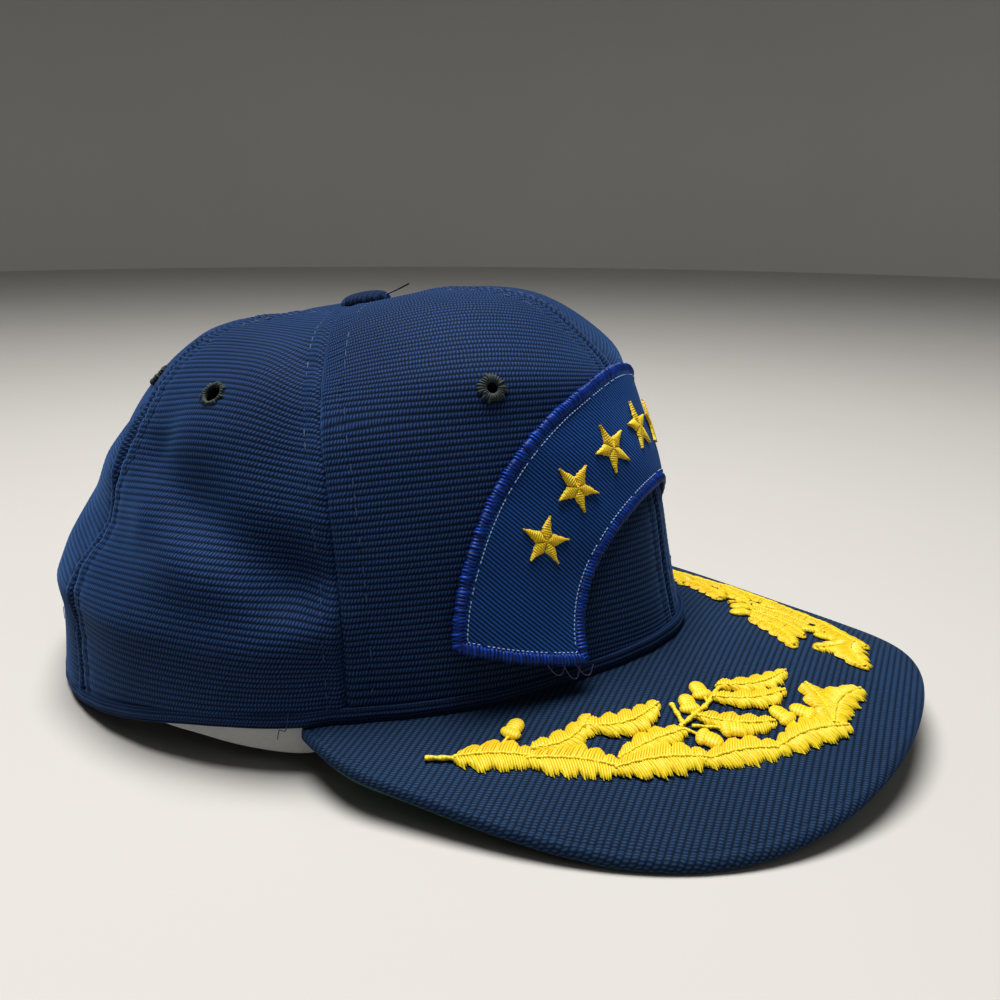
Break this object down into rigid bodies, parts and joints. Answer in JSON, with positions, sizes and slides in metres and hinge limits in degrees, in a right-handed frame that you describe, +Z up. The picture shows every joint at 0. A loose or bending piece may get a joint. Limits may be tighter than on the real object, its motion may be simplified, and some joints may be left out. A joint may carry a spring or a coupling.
{
  "type": "snapback cap",
  "caption": "Soft crown of sewn gores with a top button, a stiff arched peak with leaf embroidery, an arched front patch and a rear closing strap; rests on its lower edge, hollow for a head",
  "frame": {"origin": "middle of the bounding box in plan, on the surface the cap rests on", "axes": "+Z up, -Y out along the peak, -X to the wearer's right"},
  "size_m": [0.1726, 0.2578, 0.1121],
  "materials": {
    "crown_cloth": "navy ribbed polyester, fine ribs across each panel, slightly bluish sheen",
    "hem_cloth": "the same navy cloth turned over the edge, ribs along the edge",
    "brim_cloth": "navy ribbed cloth stretched over the peak, ribs running front to back",
    "button_cloth": "navy cloth drawn over a button",
    "green_cloth": "plain green cloth under the peak",
    "sweatband_cloth": "smooth off-white band, a little yellowed",
    "strap_plastic": "dark navy moulded plastic",
    "eyelet_thread": "dark grey-green thread wound round a small hole",
    "gold_thread": "bright yellow satin stitch with a silky gloss",
    "patch_twill": "navy diagonal twill",
    "merrow_thread": "royal blue overlocked edge, glossy stitches across it"
  },
  "bodies": {
    "root": {"front_panel_right": "crown_cloth", "front_eyelet_right": "eyelet_thread", "side_panel_right": "crown_cloth", "side_eyelet_right": "eyelet_thread", "rear_panel_right": "crown_cloth", "rear_eyelet_right": "eyelet_thread", "front_panel_left": "crown_cloth", "front_eyelet_left": "eyelet_thread", "side_panel_left": "crown_cloth", "side_eyelet_left": "eyelet_thread", "rear_panel_left": "crown_cloth", "rear_eyelet_left": "eyelet_thread", "crown_hem": "hem_cloth", "opening_binding": "hem_cloth", "sweatband": "sweatband_cloth", "rear_strap": "strap_plastic", "crown_button": "button_cloth", "brim_embroidery_right": "gold_thread", "brim_embroidery_left": "gold_thread", "patch": "patch_twill", "patch_border": "merrow_thread", "patch_star_1": "gold_thread", "patch_star_2": "gold_thread", "patch_star_3": "gold_thread", "patch_star_4": "gold_thread", "patch_star_5": "gold_thread", "patch_star_6": "gold_thread", "patch_star_7": "gold_thread", "brim": "brim_cloth", "brim_underside": "green_cloth"}
  },
  "joints": []
}
